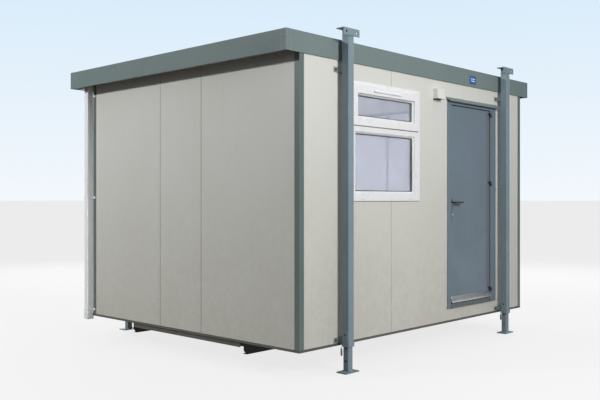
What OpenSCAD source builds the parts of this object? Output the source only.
// Portable site cabin on four jack legs, 12 ft by 10 ft.
// Lengths in millimetres. The model's origin is on the ground at the middle of the cabin's
// outline, +X runs along the door side and +Z is up; the door side faces -Y.
// Most modules are drawn in the cabin's own frame, which starts at the front left corner of
// the walls, at the underside of the base rail, with Y running to the rear.

/* [Cabin] */
// Length of the walls along the door side
cabin_l = 3660; // [3600:10:4800]
// Width of the walls from front to rear
cabin_w = 3000; // [2450:10:3700]
// Height of the wall sheets, up to the underside of the fascia
wall_h = 2400; // [2320:10:2900]
// Clear height from the ground to the base rail
ground_gap = 215; // [180:5:260]
// Thickness of the insulated wall panels
wall_t = 50; // [40:1:60]
// Thickness of the white lining boards
lining_t = 9; // [6:1:15]
// Width of the wall sheets, which sets where the joints fall
sheet_w = 1220; // [1000:10:1250]
// Width of each groove at a sheet joint
groove_w = 6; // [3:1:10]
// Depth of each groove at a sheet joint
groove_d = 1.5; // [0.5:0.5:3]
// Lap of the corner trims past the panel joint they cover
trim_lap = 5; // [3:1:15]
// Thickness of the folded steel trims and fascias
steel_t = 2; // [1.5:0.5:3]

/* [Floor] */
// Height of the finished floor over the base rail's underside
floor_rise = 140; // [130:5:170]
// Thickness of the floor boards
floor_t = 22; // [18:1:30]
// Height of the base rail under the wall panels
rail_h = 22; // [15:1:30]
// Projection of the base rail past the wall's face
rail_out = 3; // [2.5:0.5:6]
// Width of a floor joist
joist_w = 45; // [38:1:50]
// Largest distance between joist centres
joist_pitch = 400; // [350:10:400]
// Distance from the walls' long sides to the middle of each bearer
bearer_in = 690; // [500:10:900]
// Depth of the bearer channels
bearer_h = 105; // [80:5:120]
// Width of the bearer channels
bearer_w = 50; // [40:5:70]
// Thickness of the bearer channels
bearer_t = 6; // [4:1:8]
// Distance that the bearers stop short of the gable ends
bearer_back = 15; // [5:5:40]
// Depth of the trimmers under the gable ends
trimmer_h = 45; // [30:5:60]

/* [Roof] */
// Height of the fascia
fascia_h = 172; // [160:1:220]
// Overhang of the roof at the gable ends
gable_over = 160; // [120:5:200]
// Clear distance between the rear legs and the gutter
gutter_clear = 11; // [9:1:40]
// Stand-off of the front fascia's face from the front wall
front_over = 10; // [8:1:14]
// Inward lip along the bottom of the gable and rear fascias
lip_w = 25; // [15:1:35]
// Inward return along the top of the fascias
return_w = 40; // [20:1:60]
// Width of each leg of the fascia corner covers
cover_w = 60; // [40:1:80]
// Height of the clear space between the fascia's lower edge and the roof deck
soffit_rise = 60; // [50:5:80]
// Thickness of the roof deck along the front
deck_front_t = 68; // [60:1:75]
// Thickness of the roof deck along the rear
deck_rear_t = 40; // [30:1:50]
// Height of the ribs of the roof sheet
rib_h = 20; // [12:1:28]
// Largest distance between the ribs of the roof sheet
rib_pitch = 250; // [200:10:333]
// Width of the gutter
gutter_w = 50; // [40:1:52]
// Depth of the gutter
gutter_h = 80; // [60:5:100]
// Side of the square downpipe
pipe_side = 65; // [60:1:70]
// Wall of the square downpipe
pipe_t = 3; // [2:0.5:4]

/* [Window] */
// Distance from the left wall corner to the window frame
win_x = 604; // [590:2:700]
// Width of the window frame
win_w = 1052; // [900:4:1100]
// Height of the window frame
win_h = 1038; // [900:4:1100]
// Height of the window frame's lower edge over the base rail's underside
win_z = 1214; // [900:2:1250]
// Projection of the window frame past the wall's face
win_out = 12; // [8:1:20]
// Width of the frame's sides and head round the sash
win_face = 34; // [28:1:45]
// Width of the frame's sides and sill round the lower pane
pane_face = 86; // [60:2:100]
// Height of the frame's sill
sill_face = 71; // [60:1:90]
// Height of the top-hung sash
sash_h = 350; // [300:5:400]
// Height of the transom under the sash
transom_h = 51; // [40:1:60]
// Width of the sash's own members
sash_face = 70; // [60:1:80]
// Projection of the sash past the frame's face
sash_out = 16; // [10:1:25]
// Thickness of the sealed glass units
glass_t = 24; // [16:1:28]
// Fitting gap round frames and glass
fit_gap = 0.4; // [0.2:0.1:0.8]

/* [Door] */
// Distance from the right wall corner to the door frame
door_x = 573; // [560:1:640]
// Width of the door frame
door_w = 944; // [780:2:980]
// Height of the door frame
door_h = 2079; // [1950:1:2100]
// Width of the lock side jamb
jamb_lock = 57; // [50:1:70]
// Width of the hinge side jamb
jamb_hinge = 111; // [90:1:120]
// Height of the door head
head_face = 38; // [30:1:50]
// Height of the threshold
sill_h = 45; // [35:1:50]
// Thickness of the door leaf
leaf_t = 40; // [35:1:45]
// Running gap round the door leaf
leaf_gap = 8; // [8:0.5:10]
// Projection of the leaf past the wall's face
leaf_out = 2; // [0:1:6]
// Projection of the door frame past the wall's face
frame_out = 14; // [8:1:18]
// Diameter of the hinge knuckles
knuckle_d = 16; // [14:1:20]
// Length of each hinge, both knuckles
knuckle_l = 46; // [40:2:120]
// Diameter of the hinge pins
pin_d = 9; // [7:0.5:10]
// Running clearance of the hinge pins, on radius
pin_gap = 0.3; // [0.2:0.05:0.5]
// Height of the lever handle over the base rail's underside
lever_z = 1199; // [1000:1:1300]
// Length of the lever handle
lever_l = 145; // [110:1:170]
// Distance from the leaf's edge to the lever's spindle
lever_in = 22; // [20:1:40]

/* [Jack legs] */
// Distance from the gable ends to the middle of each leg
leg_in = 500; // [480:5:515]
// Side of the fixed outer tube
tube_side = 70; // [66:1:84]
// Wall of the fixed outer tube
tube_t = 6; // [4:0.5:8]
// Running clearance of the sliding leg in its tube
slide_gap = 0.5; // [0.3:0.1:0.8]
// Wall of the sliding leg
leg_t = 5; // [4:0.5:7]
// Length of the sliding leg with its foot plate
leg_l = 1300; // [1100:10:1600]
// Clear distance from the wall to the outer tube
tube_off = 52; // [48:1:60]
// Foot plate along the wall
foot_w = 172; // [140:2:200]
// Foot plate away from the wall
foot_d = 105; // [90:1:106]
// Thickness of the foot plate
foot_t = 10; // [8:1:14]
// Distance between the pin holes up the sliding leg
hole_pitch = 110; // [80:5:150]
// Diameter of the pin holes
hole_d = 18; // [16:1:22]
// Width of the lifting angle on top of each leg
head_w = 204; // [190:2:240]
// Height of the lifting angle's front plate
head_h = 62; // [55:1:75]
// Depth of the lifting angle's top plate
head_d = 86; // [80:1:100]
// Thickness of the lifting angle
head_t = 8; // [6:1:12]
// Rise of the lifting angle's top over the fascia's top
head_rise = 80; // [75:1:110]
// Diameter of the lifting holes
lift_d = 22; // [18:1:26]
// Distance between a head's two lifting holes
lift_pitch = 136; // [120:2:150]
// Height of each bracket that holds a leg to the wall
bracket_h = 45; // [35:1:60]
// Width of each bracket's ear beside the leg
ear_w = 48; // [35:1:60]

/* [Hidden] */

smooth = 48;        // facets of a round part
eps = 1;            // how far a cut runs past a face

// Cabin
rear = cabin_w;
right = cabin_l;
trim_leg = wall_t + trim_lap;                      // width of each leg of the corner trims
rear_over = tube_off + tube_side + gutter_clear + gutter_w + steel_t; // roof overhang at the rear
leg_y = tube_off + tube_side / 2;                  // leg middle, out from the wall
front_reach = max(leg_y + foot_d / 2, leg_y + tube_side / 2 + head_t);
rear_reach = max(rear_over + steel_t, front_reach);
wall_top = wall_h + soffit_rise;                   // underside of the roof deck
ceiling_z = wall_h - 50;

// Window and door openings
win_r = win_x + win_w;
win_top = win_z + win_h;
sash_z = win_top - win_face - sash_h;              // lower edge of the sash's opening
pane_z = win_z + sill_face;
pane_top = sash_z - transom_h;
door_z = floor_rise;                               // the frame stands at floor level
door_r = right - door_x;
door_l = door_r - door_w;
door_top = door_z + door_h;
leaf_l = door_l + jamb_lock + leaf_gap;
leaf_r = door_r - jamb_hinge - leaf_gap;
leaf_z = door_z + sill_h + leaf_gap;
leaf_top = door_top - head_face - leaf_gap;
stop_w = 15;                                       // door stop, in from the jamb
stop_gap = 5;                                      // between the shut leaf and the stop
stop_y = leaf_t - leaf_out + stop_gap;             // front of the door stop

// Door hinges: three, on an axis in front of the gap beside the leaf
hinge_x = leaf_r + leaf_gap / 2;
hinge_y = -frame_out - knuckle_d / 2;
hinge_zs = [leaf_z + 80, leaf_z + 0.61 * (leaf_top - leaf_z), leaf_top - 42];
flap_t = 3;
flap_w = 31;                                       // reach of a hinge flap past its gap's edge
lever_x = leaf_l + lever_in;

// Joists and ribs
joist_n = ceil((cabin_l - 2 * wall_t - joist_w) / joist_pitch) + 1;
joist_step = (cabin_l - 2 * wall_t - joist_w) / (joist_n - 1);
roof_half = cabin_l / 2 + gable_over - steel_t;    // half the roof deck's length
deck_front = -front_over + steel_t;
deck_rear = rear + rear_over - steel_t - gutter_w - 1;
roof_slope = atan((deck_front_t - deck_rear_t) / (deck_rear - deck_front));
rib_n = ceil((2 * roof_half - 120) / rib_pitch) + 1;
rib_step = (2 * roof_half - 120) / (rib_n - 1);

// Downpipe, just outside the rear left corner
pipe_x = -pipe_side / 2;
pipe_y = rear + rail_out + pipe_t + 0.5 + pipe_side / 2;
clip_zs = [60, wall_h / 2 + 40, wall_h - 90];
clip_h = 20;

// Jack legs
slide_side = tube_side - 2 * tube_t - 2 * slide_gap;
head_top = wall_h + fascia_h + head_rise;
foot_hole_z = foot_t + 85;                         // lowest pin hole, over the foot's underside
pin_z = foot_hole_z - ground_gap + 2 * hole_pitch; // pin hole in the tube, in line with the third
bracket_zs = [rail_h + 4, wall_h - 105];           // undersides of each leg's two brackets
bracket_t = 6;
keeper_t = 5;                                      // plate over the pin hole of each tube
leg_xs = [leg_in, right - leg_in];
leg_ends = [[0, 0], [1, 0], [0, 1], [1, 1]];       // left or right, front or rear

function leg_centre(side, back) = [leg_xs[side], back == 0 ? -leg_y : rear + leg_y];

// A box between two opposite corners.
module span(low, high) {
    translate(low) cube(high - low);
}

// The cabin's own frame: front left wall corner, underside of the base rail.
module cabin() {
    translate([-cabin_l / 2, -(cabin_w + rear_reach - front_reach) / 2, ground_gap]) children();
}

// A leg's own frame: its middle, with +Y pointing away from the cabin's wall.
module at_leg(side, back) {
    c = leg_centre(side, back);
    cabin() translate([c[0], c[1], 0]) mirror([0, back == 0 ? 1 : 0, 0]) children();
}

// ---- floor

module floor_deck() {
    color("burlywood") cabin()
        span([wall_t, wall_t, floor_rise - floor_t], [right - wall_t, rear - wall_t, floor_rise]);
}

module floor_joists() {
    color("peru") cabin() for (i = [0 : joist_n - 1])
        translate([wall_t + i * joist_step, 0, 0])
            span([0, wall_t, 0], [joist_w, rear - wall_t, floor_rise - floor_t]);
}

// A steel channel on its side with its lower corners cut back at both ends.
module bearer(y) {
    cut = bearer_h / 2;
    length = cabin_l - 2 * bearer_back;
    color("#2b2b2b") cabin() translate([bearer_back, y - bearer_w / 2, -bearer_h])
        difference() {
            cube([length, bearer_w, bearer_h]);
            translate([-eps, bearer_t, bearer_t])
                cube([length + 2 * eps, bearer_w, bearer_h - 2 * bearer_t]);
            for (end = [0, length])
                translate([end, bearer_w / 2, 0]) rotate([0, 45, 0])
                    cube([cut, bearer_w + 2 * eps, cut], center = true);
        }
}

module bearer_front() { bearer(bearer_in); }

module bearer_rear() { bearer(rear - bearer_in); }

// Angles under the gable ends, from bearer to bearer.
module end_trimmers() {
    y0 = bearer_in + bearer_w / 2 + 1;
    y1 = rear - bearer_in - bearer_w / 2 - 1;
    color("#3a3a38") cabin() for (x = [bearer_back, right - bearer_back - wall_t])
        translate([x, y0, -trimmer_h]) difference() {
            cube([wall_t, y1 - y0, trimmer_h]);
            translate([bearer_t, -eps, -eps])
                cube([wall_t - 2 * bearer_t, y1 - y0 + 2 * eps, trimmer_h - bearer_t + eps]);
        }
}

module base_rails() {
    gap = 1;
    color("#60605a") cabin() {
        for (y = [-rail_out, rear - wall_t])
            span([-rail_out, y, 0], [right + rail_out, y + wall_t + rail_out, rail_h]);
        for (x = [-rail_out, right - wall_t])
            span([x, wall_t + gap, 0], [x + wall_t + rail_out, rear - wall_t - gap, rail_h]);
    }
}

// ---- walls

// A plain panel in the X-Z plane, its face at y with the groove cut on the outward side.
module x_panel(x0, x1, z0, z1, y, outward) {
    face = outward < 0 ? y : y + wall_t;
    difference() {
        span([x0, y, z0], [x1, y + wall_t, z1]);
        for (x = [sheet_w : sheet_w : right - 100])
            if (x - groove_w > x0 && x + groove_w < x1)
                span([x - groove_w / 2, face - groove_d, z0 - eps],
                     [x + groove_w / 2, face + groove_d, z1 + eps]);
    }
}

// A gable panel, with its two joints one sheet and one and a half sheets back.
module y_panel(x, outward) {
    face = outward < 0 ? x : x + wall_t;
    difference() {
        span([x, wall_t, rail_h], [x + wall_t, rear - wall_t, wall_top]);
        for (y = [sheet_w, 1.5 * sheet_w])
            span([face - groove_d, y - groove_w / 2, rail_h - eps],
                 [face + groove_d, y + groove_w / 2, wall_top + eps]);
    }
}

module wall_left() { color("#b5b6b0") cabin() y_panel(0, -1); }

module wall_right() { color("#b5b6b0") cabin() y_panel(right - wall_t, 1); }

module wall_rear() {
    color("#c9c8c0") cabin() x_panel(0, right, rail_h, wall_top, rear - wall_t, 1);
}

module front_panel(x0, x1, z0, z1) {
    color("#d5d5cd") cabin() x_panel(x0, x1, z0, z1, 0, -1);
}

module front_left() { front_panel(0, win_x, rail_h, wall_top); }

module front_under_window() { front_panel(win_x, win_r, rail_h, win_z); }

module front_over_window() { front_panel(win_x, win_r, win_top, wall_top); }

module front_middle() { front_panel(win_r, door_l, rail_h, wall_top); }

module front_over_door() { front_panel(door_l, door_r, door_top, wall_top); }

module front_under_door() { front_panel(door_l, door_r, rail_h, door_z); }

module front_right() { front_panel(door_r, right, rail_h, wall_top); }

// Folded angles over the four wall corners, from the base rail up behind the fascia.
module corner_trims() {
    color("#57625f") cabin() for (side = [0, 1], back = [0, 1])
        translate([side * right, back * rear, rail_h])
            mirror([side, 0, 0]) mirror([0, back, 0]) difference() {
                translate([-steel_t, -steel_t, 0])
                    cube([trim_leg, trim_leg, wall_top - rail_h - steel_t]);
                translate([0, 0, -eps]) cube([trim_leg, trim_leg, wall_top]);
            }
}

// White boards on the insides of the walls, with joints of 2 mm between them.
module linings() {
    gap = 2;
    x0 = wall_t;
    x1 = right - wall_t;
    y0 = wall_t;
    y1 = rear - wall_t;
    color("white") cabin() {
        for (p = [[x0, win_x], [win_r, door_l], [door_r, x1]])
            span([p[0] + gap, y0, floor_rise], [p[1] - gap, y0 + lining_t, ceiling_z]);
        span([win_x, y0, floor_rise], [win_r, y0 + lining_t, win_z]);
        span([win_x, y0, win_top], [win_r, y0 + lining_t, ceiling_z]);
        span([door_l, y0, door_top], [door_r, y0 + lining_t, ceiling_z]);
        span([x0 + gap, y1 - lining_t, floor_rise], [x1 - gap, y1, ceiling_z]);
        for (x = [x0, x1 - lining_t])
            span([x, y0 + lining_t + gap, floor_rise],
                 [x + lining_t, y1 - lining_t - gap, ceiling_z]);
    }
}

module ceiling() {
    color("white") cabin()
        span([wall_t, wall_t, ceiling_z], [right - wall_t, rear - wall_t, ceiling_z + lining_t]);
}

// ---- roof

module roof_joists() {
    color("peru") cabin() for (i = [0 : joist_n - 1])
        translate([wall_t + i * joist_step, 0, 0])
            span([0, wall_t, ceiling_z + lining_t], [joist_w, rear - wall_t, wall_top]);
}

// Clear slots through the roof for the two rear legs.
module rear_leg_slots() {
    room = 8;
    for (x = leg_xs)
        span([x - tube_side / 2 - room, rear + tube_off - room, wall_h],
             [x + tube_side / 2 + room, rear + rear_over, head_top]);
}

// Insulated deck that falls towards the gutter.
module roof_deck() {
    color("tan") cabin() difference() {
        translate([right / 2 - roof_half, 0, 0]) rotate([90, 0, 90])
            linear_extrude(height = 2 * roof_half) polygon([
                [deck_front, wall_top], [deck_rear, wall_top],
                [deck_rear, wall_top + deck_rear_t], [deck_front, wall_top + deck_front_t]]);
        rear_leg_slots();
    }
}

// Outline of the ribbed sheet across its ribs: the middle line, then the same line back.
function rib_line(lift) = [
    for (i = [0 : rib_n - 1], p = [[-32, 0], [-18, rib_h], [18, rib_h], [32, 0]])
        [60 + i * rib_step + p[0], lift + p[1]]
];

function reversed(list) = [for (i = [len(list) - 1 : -1 : 0]) list[i]];

module roof_sheet() {
    side_gap = 0.3;
    wide = 2 * (roof_half - side_gap);
    top = rib_line(steel_t);
    low = rib_line(0);
    run = (deck_rear - deck_front) / cos(roof_slope);
    color("#8d9291") cabin() difference() {
        translate([right / 2 - wide / 2, deck_front, wall_top + deck_front_t + 0.2])
            rotate([90 - roof_slope, 0, 0]) mirror([0, 0, 1]) linear_extrude(height = run)
                polygon(concat([[0, 0], [0, steel_t]], top,
                               [[wide, steel_t], [wide, 0]], reversed(low)));
        rear_leg_slots();
    }
}

// Folded fascia along X: face outside, return along the top, lip along the bottom.
module fascia_profile(top_w, lip) {
    polygon([[0, 0], [lip, 0], [lip, steel_t], [steel_t, steel_t],
             [steel_t, fascia_h - steel_t], [top_w, fascia_h - steel_t],
             [top_w, fascia_h], [0, fascia_h]]);
}

module fascia_along_x(y, inward, lip) {
    translate([-gable_over, y, wall_h]) mirror([0, inward < 0 ? 1 : 0, 0])
        rotate([90, 0, 90]) linear_extrude(height = cabin_l + 2 * gable_over)
            fascia_profile(return_w, lip);
}

module fascia_front() {
    color("#7a8a85") cabin() fascia_along_x(-front_over, 1, front_over - steel_t - 0.3);
}

module fascia_rear() {
    color("#7a8a85") cabin() fascia_along_x(rear + rear_over, -1, lip_w);
}

// Gable fascia: runs between the front and rear ones, under their top returns.
module gable_fascia(x, outward) {
    y0 = -front_over + steel_t;
    y1 = rear + rear_over - steel_t;
    color("#6b7a78") cabin() translate([x, y1, wall_h])
        mirror([outward > 0 ? 1 : 0, 0, 0]) rotate([90, 0, 0]) difference() {
            linear_extrude(height = y1 - y0) fascia_profile(return_w, lip_w);
            for (end = [-eps, y1 - y0 - return_w + steel_t])
                translate([-eps, fascia_h - steel_t, end])
                    cube([return_w + 2 * eps, 2 * steel_t, return_w - steel_t + eps]);
            for (end = [-eps, y1 - y0 - lip_w + steel_t])
                translate([-eps, -steel_t, end])
                    cube([lip_w + 2 * eps, 2 * steel_t, lip_w - steel_t + eps]);
        }
}

module fascia_left() { gable_fascia(-gable_over, -1); }

module fascia_right() { gable_fascia(right + gable_over, 1); }

// Angle covers folded over the four corners of the fascia.
module fascia_corners() {
    ys = [-front_over, rear + rear_over];
    color("#66736f") cabin() for (side = [0, 1], back = [0, 1])
        translate([side == 0 ? -gable_over : right + gable_over, ys[back], wall_h])
            mirror([side, 0, 0]) mirror([0, back, 0]) difference() {
                translate([-steel_t, -steel_t, 0]) cube([cover_w, cover_w, fascia_h]);
                translate([0, 0, -eps]) cube([cover_w, cover_w, fascia_h + 2 * eps]);
            }
}

// ---- rainwater

// Open trough behind the rear fascia, with an outlet box at its left end.
module gutter() {
    y1 = rear + rear_over - steel_t;
    y0 = y1 - gutter_w;
    z0 = wall_h + 30;
    z1 = wall_h + soffit_rise - 2;
    x0 = -gable_over + steel_t + lip_w;
    x1 = right + gable_over - steel_t - lip_w;
    box_y = pipe_y - pipe_side / 2 - 1;
    color("#dddddd") cabin() difference() {
        union() {
            span([x0, y0, z0], [x1, y1, z0 + gutter_h]);
            span([-pipe_side - 3, box_y, z0 - 25], [pipe_t, y1, z1]);
        }
        span([x0 + pipe_t, y0 + pipe_t, z0 + pipe_t], [x1 - pipe_t, y1 - pipe_t, z0 + gutter_h + eps]);
        span([-pipe_side - 3 + pipe_t, box_y + pipe_t, z0 - 25 + pipe_t],
             [0, y1 - pipe_t, z0 + pipe_t + eps]);
        span([-pipe_side - 3 + pipe_t, box_y + pipe_t, z0], [0, y0 + eps, z1 - pipe_t]);
        span([-pipe_side + pipe_t, box_y + 1 + pipe_t, z0 - 25 - eps],
             [-pipe_t, box_y + 1 + pipe_side - pipe_t, z0]);
    }
}

module square_pipe(side, wall, z0, z1) {
    translate([-side / 2, -side / 2, z0]) difference() {
        cube([side, side, z1 - z0]);
        translate([wall, wall, -eps]) cube([side - 2 * wall, side - 2 * wall, z1 - z0 + 2 * eps]);
    }
}

// The downpipe's upper length, from the gutter's outlet to the joint inside the middle clip.
module downpipe() {
    color("whitesmoke") cabin() translate([pipe_x, pipe_y, 0])
        square_pipe(pipe_side, pipe_t, clip_zs[1] + clip_h / 2, wall_h + 4.5);
}

// The lower length, with a wider shoe at its foot.
module downpipe_lower() {
    shoe_h = 70;
    shoe_z = -35;
    color("whitesmoke") cabin() translate([pipe_x, pipe_y, 0]) union() {
        square_pipe(pipe_side, pipe_t, shoe_z + 10, clip_zs[1] + clip_h / 2);
        square_pipe(pipe_side + 2 * pipe_t, pipe_t, shoe_z, shoe_z + shoe_h);
    }
}

// Straps round the downpipe with a tail onto the gable wall.
module pipe_clips() {
    clip_t = 2.5;
    room = 0.3;
    half = pipe_side / 2 + room;
    color("white") cabin() for (z = clip_zs)
        translate([pipe_x, pipe_y, z]) difference() {
            union() {
                translate([-half - clip_t, -half - clip_t, 0])
                    cube([2 * (half + clip_t), 2 * (half + clip_t), clip_h]);
                translate([-pipe_x - clip_t - steel_t - 0.3, -half - 45, 0]) cube([clip_t, 46, clip_h]);
            }
            translate([-half, -half, -eps]) cube([2 * half, 2 * half, clip_h + 2 * eps]);
        }
}

// ---- window

module window_frame() {
    y1 = wall_t + lining_t;
    color("white") cabin() difference() {
        span([win_x + fit_gap, -win_out, win_z + fit_gap], [win_r - fit_gap, y1, win_top - fit_gap]);
        span([win_x + win_face, -win_out - eps, sash_z],
             [win_r - win_face, y1 + eps, win_top - win_face]);
        span([win_x + pane_face, -win_out - eps, pane_z], [win_r - pane_face, y1 + eps, pane_top]);
    }
}

// Top-hung sash, shut in the frame and standing proud of it.
module window_sash() {
    x0 = win_x + win_face + fit_gap;
    x1 = win_r - win_face - fit_gap;
    z0 = sash_z + fit_gap;
    z1 = win_top - win_face - fit_gap;
    y0 = -win_out - sash_out;
    y1 = wall_t - 10;
    color("white") cabin() difference() {
        span([x0, y0, z0], [x1, y1, z1]);
        span([x0 + sash_face, y0 - eps, z0 + sash_face], [x1 - sash_face, y1 + eps, z1 - sash_face]);
    }
}

module window_glass() {
    x0 = win_x + win_face + sash_face + 2 * fit_gap;
    z0 = sash_z + sash_face + 2 * fit_gap;
    color("#b5bcc8", 0.5) cabin() {
        span([win_x + pane_face + fit_gap, 8, pane_z + fit_gap],
             [win_r - pane_face - fit_gap, 8 + glass_t, pane_top - fit_gap]);
        span([x0, 0, z0],
             [win_x + win_r - x0, glass_t, 2 * sash_z + sash_h - z0]);
    }
}

// ---- door

// Jambs and head with a stop behind the leaf; the threshold closes it below.
module door_frame() {
    y1 = wall_t + lining_t;
    z0 = door_z + fit_gap;
    inner_l = door_l + jamb_lock;
    inner_r = door_r - jamb_hinge;
    inner_top = door_top - head_face;
    color("#5f6c74") cabin() difference() {
        span([door_l + fit_gap, -frame_out, z0], [door_r - fit_gap, y1, door_top - fit_gap]);
        span([inner_l, -frame_out - eps, z0 - eps], [inner_r, stop_y, inner_top]);
        span([inner_l + stop_w, 0, z0 - eps], [inner_r - stop_w, y1 + eps, inner_top - stop_w]);
    }
}

// Ribbed threshold between the jambs.
module door_threshold() {
    x0 = door_l + jamb_lock + fit_gap;
    x1 = door_r - jamb_hinge - fit_gap;
    y0 = -frame_out - 4;
    z1 = door_z + sill_h;
    rib_step = 9;
    rib_d = 3;
    color("#8a8f90") cabin() difference() {
        span([x0, y0, door_z], [x1, stop_y - fit_gap, z1]);
        for (z = [door_z + rib_step : rib_step : z1 - rib_step])
            span([x0 - eps, y0 - eps, z], [x1 + eps, y0 + rib_d, z + rib_step / 2]);
    }
}

// Drip flashing over the door head.
module door_drip() {
    over = 9;
    color("#66736f") cabin() translate([door_l - over, 0, door_top])
        rotate([90, 0, 90]) linear_extrude(height = door_w + 2 * over + 30)
            polygon([[0, 4], [-42, -2], [-42, -10], [-45, -10], [-45, 1], [-3, 34], [0, 34]]);
}

module door_leaf() {
    color("#66737b") cabin() difference() {
        span([leaf_l, -leaf_out, leaf_z], [leaf_r, leaf_t - leaf_out, leaf_top]);
        translate([lever_x, -leaf_out - eps, lever_z]) rotate([-90, 0, 0])
            cylinder(d = 14, h = leaf_t + 2 * eps, $fn = smooth);
    }
}

// Folded weather bar along the foot of the leaf.
module door_weather_bar() {
    bar_h = 62;
    out = 22;
    color("silver") cabin() translate([leaf_l, -leaf_out, leaf_z])
        rotate([90, 0, 90]) linear_extrude(height = leaf_r - leaf_l - 8)
            polygon([[0, 0], [-out, 0], [-out, 12], [-6, bar_h], [0, bar_h]]);
}

// Fixed hinge halves: flap on the jamb, lower knuckle and the pin.
module hinge_pins() {
    half = knuckle_l / 2;
    color("#3c4246") cabin() for (z = hinge_zs)
        translate([hinge_x, hinge_y, z]) union() {
            translate([0, 0, -half]) cylinder(d = knuckle_d, h = half - 0.3, $fn = smooth);
            translate([0, 0, -1]) cylinder(d = pin_d, h = half - 4, $fn = smooth);
            span([0, knuckle_d / 2 - flap_t, -half],
                 [leaf_gap / 2 + flap_w, knuckle_d / 2 - fit_gap / 2, -1]);
        }
}

// Moving hinge halves: flap on the leaf, cranked out to the upper knuckle, which drops over
// the pin.
module hinge_knuckles() {
    half = knuckle_l / 2;
    edge = -leaf_gap / 2;
    face = -leaf_out - hinge_y;
    color("#3c4246") cabin() for (z = hinge_zs)
        translate([hinge_x, hinge_y, z]) difference() {
            union() {
                cylinder(d = knuckle_d, h = half, $fn = smooth);
                span([-knuckle_d / 2, 0, 1], [edge, face, half]);
                span([edge - flap_w, face - flap_t, 1], [edge, face, half]);
            }
            translate([0, 0, -eps])
                cylinder(d = pin_d + 2 * pin_gap, h = half - 3, $fn = smooth);
        }
}

// Backplate of the lever on both faces of the leaf.
module lock_plate() {
    plate_w = 30;
    plate_h = 220;
    plate_t = 4;
    color("lightgray") cabin() for (y = [-leaf_out - plate_t, leaf_t - leaf_out])
        translate([lever_x - plate_w / 2, y, lever_z - plate_h + 35]) difference() {
            cube([plate_w, plate_t, plate_h]);
            translate([plate_w / 2, -eps, plate_h - 35]) rotate([-90, 0, 0])
                cylinder(d = 20, h = plate_t + 2 * eps, $fn = smooth);
        }
}

// Lever on each face of the leaf and the spindle between them.
module lever_handle() {
    reach = 52;
    bar = 16;
    color("silver") cabin() translate([lever_x, 0, lever_z]) union() {
        translate([0, -leaf_out - reach, 0]) rotate([-90, 0, 0])
            cylinder(d = 13.4, h = leaf_t + 2 * reach, $fn = smooth);
        for (y = [-leaf_out - reach, leaf_t - leaf_out + reach - bar]) {
            translate([0, y, 0]) rotate([-90, 0, 0]) cylinder(d = 19, h = bar, $fn = smooth);
            span([0, y, -9.5], [lever_l - 10, y + bar, 9.5]);
            translate([lever_l - 10, y, 0]) rotate([-90, 0, 0])
                cylinder(d = 19, h = bar, $fn = smooth);
        }
    }
}

// ---- small parts on the front

// Cable inlet hood: a box open underneath.
module inlet_hood() {
    hood_w = 125;
    hood_h = 96;
    hood_d = 55;
    t = 3;
    color("white") cabin() translate([win_r + 240, -hood_d, win_top - 41]) difference() {
        cube([hood_w, hood_d - 0.3, hood_h]);
        translate([t, t, -eps]) cube([hood_w - 2 * t, hood_d - 2 * t, hood_h - t + eps]);
    }
}

// Plain blue plate on the front fascia.
module badge_plate() {
    plate_w = 125;
    plate_h = 85;
    plate_t = 3;
    corner = 8;
    color("#2f62a8") cabin()
        translate([door_l + 477, -front_over - 0.2, wall_h + fascia_h / 2 - 16])
            rotate([90, 0, 0]) linear_extrude(height = plate_t) union() {
                square([plate_w - 2 * corner, plate_h], center = true);
                square([plate_w, plate_h - 2 * corner], center = true);
                for (x = [-1, 1], y = [-1, 1])
                    translate([x * (plate_w / 2 - corner), y * (plate_h / 2 - corner)])
                        circle(r = corner, $fn = smooth);
            }
}

// ---- jack legs

// Outer tubes, each with a collar round its foot and a keeper plate over the pin hole.
module leg_tubes() {
    inner = tube_side - 2 * tube_t;
    half = tube_side / 2;
    top = head_top - head_t;
    collar_h = 40;
    collar_t = 3;
    keeper_w = 50;
    keeper_top = pin_z + 28;
    color("#75858c") for (e = leg_ends) at_leg(e[0], e[1]) difference() {
        union() {
            translate([-half, -half, 0]) cube([tube_side, tube_side, top]);
            span([-half - collar_t, -half, 0], [half + collar_t, half + collar_t, collar_h]);
            span([-half - keeper_t, -keeper_w / 2, 0], [-half, keeper_w / 2, keeper_top]);
        }
        translate([-inner / 2, -inner / 2, -eps]) cube([inner, inner, top + 2 * eps]);
        translate([-tube_side, 0, pin_z]) rotate([0, 90, 0])
            cylinder(d = hole_d, h = 2 * tube_side, $fn = smooth);
    }
}

// Lifting angle on top of a leg: front plate with two holes, top plate over the tube.
module leg_head(side, back) {
    y1 = tube_side / 2 + head_t;
    color("#6d7d84") at_leg(side, back) translate([0, 0, head_top]) difference() {
        union() {
            span([-head_w / 2, y1 - head_d, -head_t], [head_w / 2, y1, 0]);
            span([-head_w / 2, y1 - head_t, -head_h], [head_w / 2, y1, 0]);
        }
        for (x = [-1, 1])
            translate([x * lift_pitch / 2, 0, -head_t - (head_h - head_t) / 2 + 3]) rotate([-90, 0, 0])
                cylinder(d = lift_d, h = 2 * tube_side, $fn = smooth);
    }
}

module head_front_left() { leg_head(0, 0); }

module head_front_right() { leg_head(1, 0); }

module head_rear_left() { leg_head(0, 1); }

module head_rear_right() { leg_head(1, 1); }

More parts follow.
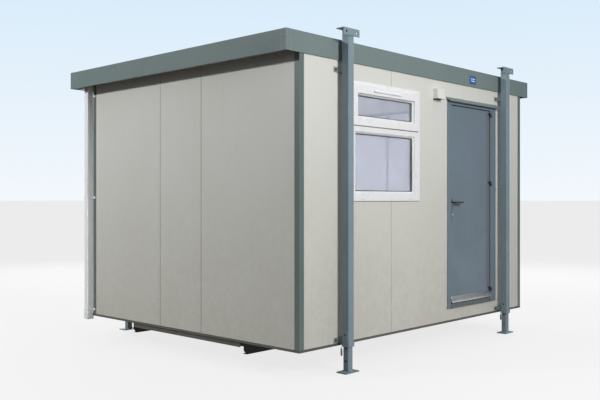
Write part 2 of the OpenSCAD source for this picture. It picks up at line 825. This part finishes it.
// Sliding leg with its foot plate and a row of pin holes.
module sliding_leg(side, back) {
    inner = slide_side - 2 * leg_t;
    color("#6a7a80") at_leg(side, back) translate([0, 0, -ground_gap]) difference() {
        union() {
            translate([-foot_w / 2, -foot_d / 2, 0]) cube([foot_w, foot_d, foot_t]);
            translate([-slide_side / 2, -slide_side / 2, foot_t])
                cube([slide_side, slide_side, leg_l - foot_t]);
        }
        translate([-inner / 2, -inner / 2, foot_t]) cube([inner, inner, leg_l]);
        for (z = [foot_hole_z : hole_pitch : leg_l - 60])
            translate([-slide_side, 0, z]) rotate([0, 90, 0])
                cylinder(d = hole_d, h = 2 * slide_side, $fn = smooth);
    }
}

module leg_front_left() { sliding_leg(0, 0); }

module leg_front_right() { sliding_leg(1, 0); }

module leg_rear_left() { sliding_leg(0, 1); }

module leg_rear_right() { sliding_leg(1, 1); }

// Brackets at the head and foot of each tube: wall plate with ears, and a spacer to the tube.
module leg_brackets() {
    spacer_w = tube_side - 10;
    skin = 0.3;
    color("#5e6c72") for (e = leg_ends, z = bracket_zs) at_leg(e[0], e[1]) translate([0, 0, z]) union() {
        span([-tube_side / 2 - ear_w, -tube_side / 2 - tube_off + skin, 0],
             [tube_side / 2 + ear_w, -tube_side / 2 - tube_off + skin + bracket_t, bracket_h]);
        span([-spacer_w / 2, -tube_side / 2 - tube_off + skin, 0],
             [spacer_w / 2, -tube_side / 2 - skin, bracket_h]);
    }
}

// Spare locking pins, hanging from the keeper plates at the legs' left sides.
module leg_pins() {
    rod = 6;
    reach = 22;
    pin_l = 62;
    pin_low = -70;
    x = -tube_side / 2 - keeper_t - fit_gap;
    y = -18;
    rod_z = 18;
    color("#3a3f42") for (e = leg_ends) at_leg(e[0], e[1]) translate([x, y, 0]) union() {
        translate([0, 0, rod_z]) rotate([0, -90, 0]) cylinder(d = rod, h = reach, $fn = smooth);
        translate([-reach, 0, pin_low + pin_l - eps])
            cylinder(d = rod, h = rod_z + rod / 2 - pin_low - pin_l + eps, $fn = smooth);
        translate([-reach, 0, pin_low]) cylinder(d = hole_d - 2, h = pin_l, $fn = smooth);
    }
}

floor_deck();
floor_joists();
bearer_front();
bearer_rear();
end_trimmers();
base_rails();
wall_left();
wall_right();
wall_rear();
front_left();
front_under_window();
front_over_window();
front_middle();
front_over_door();
front_under_door();
front_right();
corner_trims();
linings();
ceiling();
roof_joists();
roof_deck();
roof_sheet();
fascia_front();
fascia_rear();
fascia_left();
fascia_right();
fascia_corners();
gutter();
downpipe();
downpipe_lower();
pipe_clips();
window_frame();
window_sash();
window_glass();
door_frame();
door_threshold();
door_drip();
door_leaf();
door_weather_bar();
hinge_pins();
hinge_knuckles();
lever_handle();
lock_plate();
inlet_hood();
badge_plate();
leg_tubes();
head_front_left();
head_front_right();
head_rear_left();
head_rear_right();
leg_front_left();
leg_front_right();
leg_rear_left();
leg_rear_right();
leg_brackets();
leg_pins();
